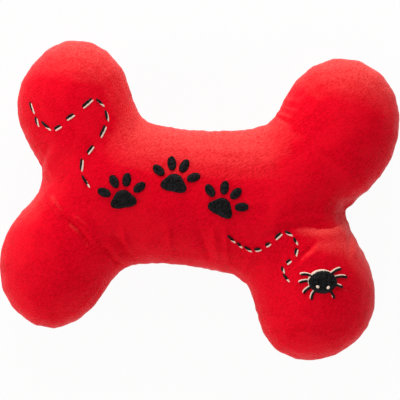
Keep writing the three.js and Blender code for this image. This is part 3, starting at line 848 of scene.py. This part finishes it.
def satin_finish(name, colour, painted_sheen_streaks, roughness, gloss):
    """Satin thread: a close colour with painted sheen, in streaks made lighter and darker at random, and fine
    fibres in the relief that catch the light unevenly.
    """
    finish, tree, surface = new_material(name)
    fibres = added(
        tree, "ShaderNodeGroup", {"Colour": (*colour, 1), "Streaks": painted_sheen_streaks},
        node_tree=thread_fibres_with_painted_sheen).outputs
    put(surface, {
        "Base Color": fibres["Colour"], "Normal": relief(tree, fibres["Height"], 0.7, 0.00012),
        "Roughness": roughness, "Specular IOR Level": gloss})
    return finish


# How much painted sheen each thread gets is set by its streaks.
black_thread = satin_finish(
    "black satin thread", (0.009, 0.008, 0.009), painted_sheen_streaks=0.95, roughness=0.3, gloss=0.06)
cream_thread = satin_finish("cream thread", (0.95, 0.73, 0.6), painted_sheen_streaks=0.05, roughness=0.5, gloss=0.1)
for piece, node in black_pieces:
    piece.data.materials.append(black_thread)
    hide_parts(node)
    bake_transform(piece)
for piece in cream_pieces:
    piece.data.materials.append(cream_thread)
    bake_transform(piece)

# Two wandering trails of running stitch: thick black thread, and a cream thread stitched beside it a little
# lower and to the right. Each stitch is a twisted thread, a few millimetres long, that dives into the pile.
upper_trail = [
    ((-110.2, 47.9), (-107.1, 41.4)), ((-105.6, 39.1), (-103.6, 33.7)), ((-101.7, 36.4), (-95.7, 32.1)),
    ((-93.2, 32.3), (-89.2, 35.2)), ((-86.5, 39.2), (-81.9, 43)), ((-77.4, 47.5), (-71.8, 53.6)),
    ((-69.3, 53.3), (-64.6, 50)), ((-63.1, 47.1), (-61.3, 41.1)), ((-62.2, 37.9), (-64.8, 30.5)),
    ((-68.3, 24.9), (-71.5, 19.6)), ((-74.3, 16.2), (-74.1, 8.8)), ((-73.2, 5.8), (-68.3, -0.5)),
]
lower_trail = [
    ((19.3, -22.1), (24, -25.3)), ((25.6, -25.8), (28.6, -28)), ((30.4, -27.8), (34.7, -29.9)),
    ((36.5, -29.1), (40.4, -28)), ((43, -25.9), (45.8, -23.8)), ((48.3, -21.1), (52, -17)),
    ((54.1, -16.2), (58.5, -17.6)), ((59.9, -19.3), (62.1, -22.8)), ((62.4, -25.5), (61.9, -29.9)),
    ((59.4, -33), (56.9, -35.4)), ((54.7, -37.8), (55.9, -41.1)), ((56, -42.3), (59.5, -46)),
]
bpy.ops.mesh.primitive_uv_sphere_add(segments=12, ring_count=16, radius=1)
one_stitch = bpy.context.object
shape = points_of(one_stitch)
run, angle = shape[:, 2].copy(), np.arctan2(shape[:, 1], shape[:, 0])
ply_depth, ply_twist = 0.13, 9
pressed_flat, arched = 0.75, 0.55
thick = (1 - np.abs(run) ** 3) ** 0.6 * (1 + ply_depth * np.cos(2 * angle + run * ply_twist))
shape = np.stack([run, thick * np.cos(angle), thick * np.sin(angle) * pressed_flat], axis=1)
shape[:, 2] += arched * (1 - run ** 2)
set_points(one_stitch, shape)
one_stitch.data.flip_normals()


def running_stitch(start, end, half_width, rise):
    """One stitch from hole to hole, lying on the skin."""
    facing = dropped(*(start + end) / 2)[1]
    first, last = dropped(*start)[0], dropped(*end)[0]
    along = (last - first).normalized()
    side = facing.cross(along).normalized()
    up = along.cross(side)
    axes = Matrix((along, side, up)).transposed().to_4x4()
    half_length = (last - first).length / 2
    stretch = Matrix.Diagonal((half_length, half_width * millimetre, half_width * millimetre, 1))
    stitch = one_stitch.copy()
    stitch.data = one_stitch.data.copy()
    stitch.data.transform(Matrix.Translation((first + last) / 2 + up * rise * millimetre) @ axes @ stretch)
    bpy.context.scene.collection.objects.link(stitch)
    return stitch


for name, trail in (("upper_trail", upper_trail), ("lower_trail", lower_trail)):
    for colour, finish, half_width, shift, rise in (
            ("black", black_thread, 0.8, (0, 0), 0.15), ("cream", cream_thread, 0.6, (0.95, -1.0), 0.1)):
        row = joined(
            [running_stitch(start + shift, end + shift, half_width, rise) for start, end in np.array(trail)],
            f"{name}_{colour}")
        smooth_shaded(row)
        row.data.materials.append(finish)
        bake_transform(row)
bpy.data.objects.remove(one_stitch)


# Backings: soft white non-woven interlining, laid behind each embroidered place on the hoop and trimmed round
# it afterwards. Each sheet is 0.3 mm thick and lies against the inside of the front panel.
seam_clearance = 0.0075
behind_lining = 0.00035
sheet_thickness = 0.0003
shrink_step = 0.01


def backing(node, at, half_along, half_across, corner_power):
    """One trimmed sheet of backing behind the front panel, sized in millimetres."""
    bpy.ops.mesh.primitive_grid_add(x_subdivisions=60, y_subdivisions=36, size=2)
    piece = bpy.context.object
    piece.name = f"sheet_{node}"
    places = points_of(piece)
    turn = np.arctan2(places[:, 1], places[:, 0])
    reach = np.abs(places[:, :2]).max(axis=1)
    powers = np.abs(np.cos(turn)) ** corner_power + np.abs(np.sin(turn)) ** corner_power
    cut_by_hand = 1 + 0.012 * np.sin(turn * 17) + 0.01 * np.sin(turn * 31 + 1)
    far = powers ** (-1 / corner_power) * cut_by_hand
    along, across = far * np.cos(turn) * half_along, far * np.sin(turn) * half_across
    for index in range(len(places)):
        kept = 1.0
        while True:
            edge = turned_place(at, along[index] * kept, across[index] * kept)
            rim = dropped(*edge, lining_surface)[0]
            if rim is not None and rim.z > seam_height + seam_clearance:
                break
            kept -= shrink_step
        inner = reach[index] * kept
        inside = turned_place(at, along[index] * inner, across[index] * inner)
        place, facing = dropped(*inside, lining_surface)
        places[index] = place - facing * behind_lining
    set_points(piece, places)
    applied(piece, "SMOOTH", factor=0.5, iterations=3)
    applied(piece, "SOLIDIFY", thickness=sheet_thickness, offset=-1)
    smooth_shaded(piece, sharp_from=50)
    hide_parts(node)
    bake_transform(piece)
    return piece


non_woven, tree, surface = new_material("white non-woven")
where = added(tree, "ShaderNodeTexCoord").outputs["Object"]
strands = speckle(tree, where, scale=900, detail=6, distortion=2.5)
dimples = added(tree, "ShaderNodeTexVoronoi", {"Vector": where, "Scale": 620, "Randomness": 0.1})
put(surface, {
    "Base Color": mixed_colour(tree, strands, (0.62, 0.62, 0.6, 1), (0.9, 0.9, 0.88, 1)),
    "Normal": relief(tree, dimples.outputs["Distance"], 0.7, 0.0002),
    "Roughness": 0.95, "Specular IOR Level": 0.1})
for node, at, half_along, half_across, corner_power in (
        ("motif_backing", (-16, 2, 0), 47, 25, 2.5), ("upper_trail_backing", (-86, 27, 95), 27, 22, 2.2),
        ("spider_backing", (66, -41, -20), 32, 17, 2.2)):
    backing(node, at, half_along, half_across, corner_power).data.materials.append(non_woven)

# Squeaker: a blow-moulded bulb of soft milky polyethylene with a flash line round its middle and a shallow
# dish in its top. The whistle barrel is pushed into the hole in its underside.
bulb_low, bulb_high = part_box("squeaker_bulb")
bulb_middle = (bulb_low + bulb_high) / 2
bulb_half_height = (bulb_high.z - bulb_low.z) / 2
bulb_radius = 0.0239
bulb_wall = 0.001
shoulder = 0.0078
dish_rings = ((0.0015, 0), (0.0012, -0.0006), (0.0012, -0.0006), (0.004, -0.0003), (0.006, 0))
hole_margin = 0.0112
flash_half_height = 0.00025
flash_width = 0.0003


def cylinder(name, sides, radius, height, middle):
    """An upright cylinder with closed ends."""
    bpy.ops.object.select_all(action="DESELECT")
    bpy.ops.mesh.primitive_cylinder_add(vertices=sides, radius=radius, depth=height, location=middle)
    piece = bpy.context.object
    piece.name = name
    bpy.ops.object.transform_apply(location=True, rotation=False, scale=False)
    return piece


def pick(piece, kind, wanted):
    """Selects, in edit mode, those faces or edges of a piece for which a test holds, and no others."""
    mesh = bmesh.from_edit_mesh(piece.data)
    for element in getattr(mesh, kind):
        element.select = wanted(element)
    bmesh.update_edit_mesh(piece.data)


bulb = cylinder("bulb", 96, bulb_radius, 2 * bulb_half_height, bulb_middle)
with editing(bulb, selected="DESELECT"):
    pick(bulb, "edges", lambda edge: abs(edge.verts[0].co.z - edge.verts[1].co.z) < 0.0001)
    bpy.ops.mesh.bevel(
        offset=shoulder, offset_type="OFFSET", segments=9, profile=0.5, clamp_overlap=False)
    pick(bulb, "faces", lambda face: lies_level(face, bulb_high.z))
    for thickness, depth in dish_rings:
        bpy.ops.mesh.inset(thickness=thickness, depth=depth)
    pick(bulb, "faces", lambda face: lies_level(face, bulb_low.z))
    bpy.ops.mesh.inset(thickness=hole_margin, depth=0)
    bpy.ops.mesh.delete(type="FACE")
    for height in (bulb_middle.z + flash_half_height, bulb_middle.z - flash_half_height):
        bpy.ops.mesh.select_all(action="SELECT")
        bpy.ops.mesh.bisect(plane_co=(0, 0, height), plane_no=(0, 0, 1))
    pick(bulb, "faces", lambda face: (
        abs(face.calc_center_median().z - bulb_middle.z) < flash_half_height and abs(face.normal.z) < 0.1))
    bpy.ops.mesh.extrude_region_shrink_fatten(TRANSFORM_OT_shrink_fatten={"value": flash_width})
    bpy.ops.mesh.select_all(action="SELECT")
    bpy.ops.mesh.normals_make_consistent(inside=False)
applied(bulb, "SOLIDIFY", thickness=bulb_wall, offset=-1)
smooth_shaded(bulb, sharp_from=40)

moulded_skin, given, result = shader_group(
    "moulded skin",
    {"Colour": "NodeSocketColor", "Roughness": "NodeSocketFloat", "Grain": "NodeSocketFloat"},
    {"Colour": "NodeSocketColor", "Roughness": "NodeSocketFloat", "Height": "NodeSocketFloat"})
where = added(moulded_skin, "ShaderNodeTexCoord").outputs["Object"]
cloud = speckle(moulded_skin, where, scale=90, detail=3)
shade = worked_out(moulded_skin, "MULTIPLY_ADD", cloud, 0.12, 0.88)
swing = worked_out(moulded_skin, "MULTIPLY_ADD", cloud, 0.16, -0.08)
put(result, {
    "Colour": scaled_colour(moulded_skin, given["Colour"], shade),
    "Roughness": worked_out(moulded_skin, "ADD", given["Roughness"], swing),
    "Height": speckle(moulded_skin, where, given["Grain"])})


def moulded(name, colour, roughness, grain, seen_through):
    """Moulded plastic: a little uneven in colour and gloss, with a faint orange peel."""
    finish, tree, surface = new_material(name)
    moulding = added(
        tree, "ShaderNodeGroup", {"Colour": (*colour, 1), "Roughness": roughness, "Grain": grain},
        node_tree=moulded_skin).outputs
    put(surface, {
        "Base Color": moulding["Colour"], "Roughness": moulding["Roughness"],
        "Normal": relief(tree, moulding["Height"], 0.4, 0.00005), "Transmission Weight": seen_through})
    return finish


bulb.data.materials.append(
    moulded("milky polyethylene", (0.85, 0.85, 0.82), roughness=0.4, grain=500, seen_through=0.15))
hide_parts("squeaker_bulb")
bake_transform(bulb)

# Whistle: a turned-looking barrel of hard plastic whose flange lies under the bulb. A half-round seat with an
# air channel and a wedge hold the film reed in its bore. Seat, wedge and reed keep the shape they have.
barrel_low, barrel_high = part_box("whistle_barrel")
barrel_middle = (barrel_low + barrel_high) / 2
flange_radius, flange_height = 0.007, 0.0012
flange_margin = 0.0025
barrel_wall = 0.001
bore_radius = flange_radius - flange_margin - barrel_wall
barrel_height = barrel_high.z - barrel_low.z
flange_middle = Vector((barrel_middle.x, barrel_middle.y, barrel_low.z + flange_height / 2))
barrel = cylinder("barrel", 64, flange_radius, flange_height, flange_middle)
with editing(barrel):
    pick(barrel, "faces", lambda face: face.normal.z > 0.99)
    bpy.ops.mesh.inset(thickness=flange_margin, depth=0)
    bpy.ops.mesh.extrude_region_move(
        TRANSFORM_OT_translate={"value": (0, 0, barrel_height - flange_height)})
    bpy.ops.mesh.inset(thickness=barrel_wall, depth=0)
    bpy.ops.mesh.delete(type="FACE")
    pick(barrel, "faces", lambda face: face.normal.z < -0.99)
    bpy.ops.mesh.inset(thickness=flange_radius - bore_radius, depth=0)
    bpy.ops.mesh.delete(type="FACE")
    pick(barrel, "edges", lambda edge: edge.is_boundary)
    bpy.ops.mesh.bridge_edge_loops()
    bpy.ops.mesh.select_all(action="SELECT")
    bpy.ops.mesh.normals_make_consistent(inside=False)
applied(barrel, "BEVEL", width=0.00012, segments=2, limit_method="ANGLE", angle_limit=math.radians(50))
smooth_shaded(barrel, sharp_from=40)
hard_plastic = moulded(
    "hard white plastic", (0.9, 0.9, 0.88), roughness=0.28, grain=700, seen_through=0)
barrel.data.materials.append(hard_plastic)
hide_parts("whistle_barrel")
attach(barrel, "back")
reed_film = moulded("amber reed film", (0.75, 0.55, 0.25), roughness=0.2, grain=900, seen_through=0.4)
for node, finish in (("reed_seat", hard_plastic), ("reed_wedge", hard_plastic), ("reed", reed_film)):
    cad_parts[node].data.materials.clear()
    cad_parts[node].data.materials.append(finish)

# Stuffing: loose polyester fibre pushed in by hand as wads, one in each lobe and one on each side of the
# squeaker. Each wad fills its space and is uneven where the fibres clump.
polyester, tree, surface = new_material("white polyester fibre")
where = added(tree, "ShaderNodeTexCoord").outputs["Object"]
hairs = speckle(tree, where, scale=260, detail=8, roughness=0.75, distortion=3)
put(surface, {
    "Base Color": mixed_colour(tree, hairs, (0.56, 0.56, 0.56, 1), (0.93, 0.93, 0.92, 1)),
    "Normal": relief(tree, hairs, 1, 0.0016), "Roughness": 0.85, "Sheen Weight": 0.3})
smallest_gap = 0.4
for seed, node in enumerate((
        "upper_right_lobe_fill", "upper_left_lobe_fill", "lower_left_lobe_fill", "lower_right_lobe_fill",
        "front_core_fill", "back_core_fill")):
    wad = copied(f"wad_{node}", node)
    mesh_evenly(wad, cell=0.0022, rounds=4)
    places = points_of(wad)
    clumps = 0.6 * (1 + spread_noise(places / millimetre, (7, 7, 7), seed * 9))
    tufts = 0.4 * (1 + spread_noise(places / millimetre, (2.6, 2.6, 2.6), seed * 5))
    inwards = (smallest_gap + clumps + tufts) * millimetre
    set_points(wad, places - normals_of(wad) * inwards[:, None])
    smooth_shaded(wad)
    wad.data.materials.append(polyester)
    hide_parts(node)
    if node == "back_core_fill":
        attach(wad, "back")
    else:
        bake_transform(wad)

# Closing stitches: the lower waist was left open for turning and stuffing, and is closed by hand with doubled
# red thread, in small slanted stitches that sink into the seam.
# The closing thread's colour carries a little painted sheen in streaks.
closing_thread = satin_finish(
    "red closing thread", (0.5, 0.004, 0.012), painted_sheen_streaks=0.2, roughness=0.55, gloss=0.05)
back_surface = surface_of(back_skin)
closing_count = 17
closing_start, closing_pitch = -26, 3.2
closing_reach, closing_slant = 1.1, 0.8
closing_radius = 0.00035
closing_sunk, closing_stands_off = 0.0002, 0.0001
closing = []
for number in range(closing_count):
    x = closing_start + number * closing_pitch
    ends = []
    for onto, side in ((back_surface, -1), (front_surface, 1)):
        start = Vector((
            (x + side * closing_slant) * millimetre, -0.1, seam_height + side * closing_reach * millimetre))
        ends.append(onto.ray_cast(start, Vector((0, 1, 0)))[0])
    run = ends[1] - ends[0]
    bpy.ops.mesh.primitive_uv_sphere_add(segments=10, ring_count=8, radius=1)
    stitch = bpy.context.object
    turn = run.to_track_quat("Z", "Y").to_matrix().to_4x4()
    size = Matrix.Diagonal((closing_radius, closing_radius, run.length / 2 + closing_sunk, 1))
    middle = (ends[0] + ends[1]) / 2 - Vector((0, closing_stands_off, 0))
    stitch.data.transform(Matrix.Translation(middle) @ turn @ size)
    closing.append(stitch)
closing = joined(closing, "closing_stitches")
smooth_shaded(closing)
closing.data.materials.append(closing_thread)
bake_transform(closing)
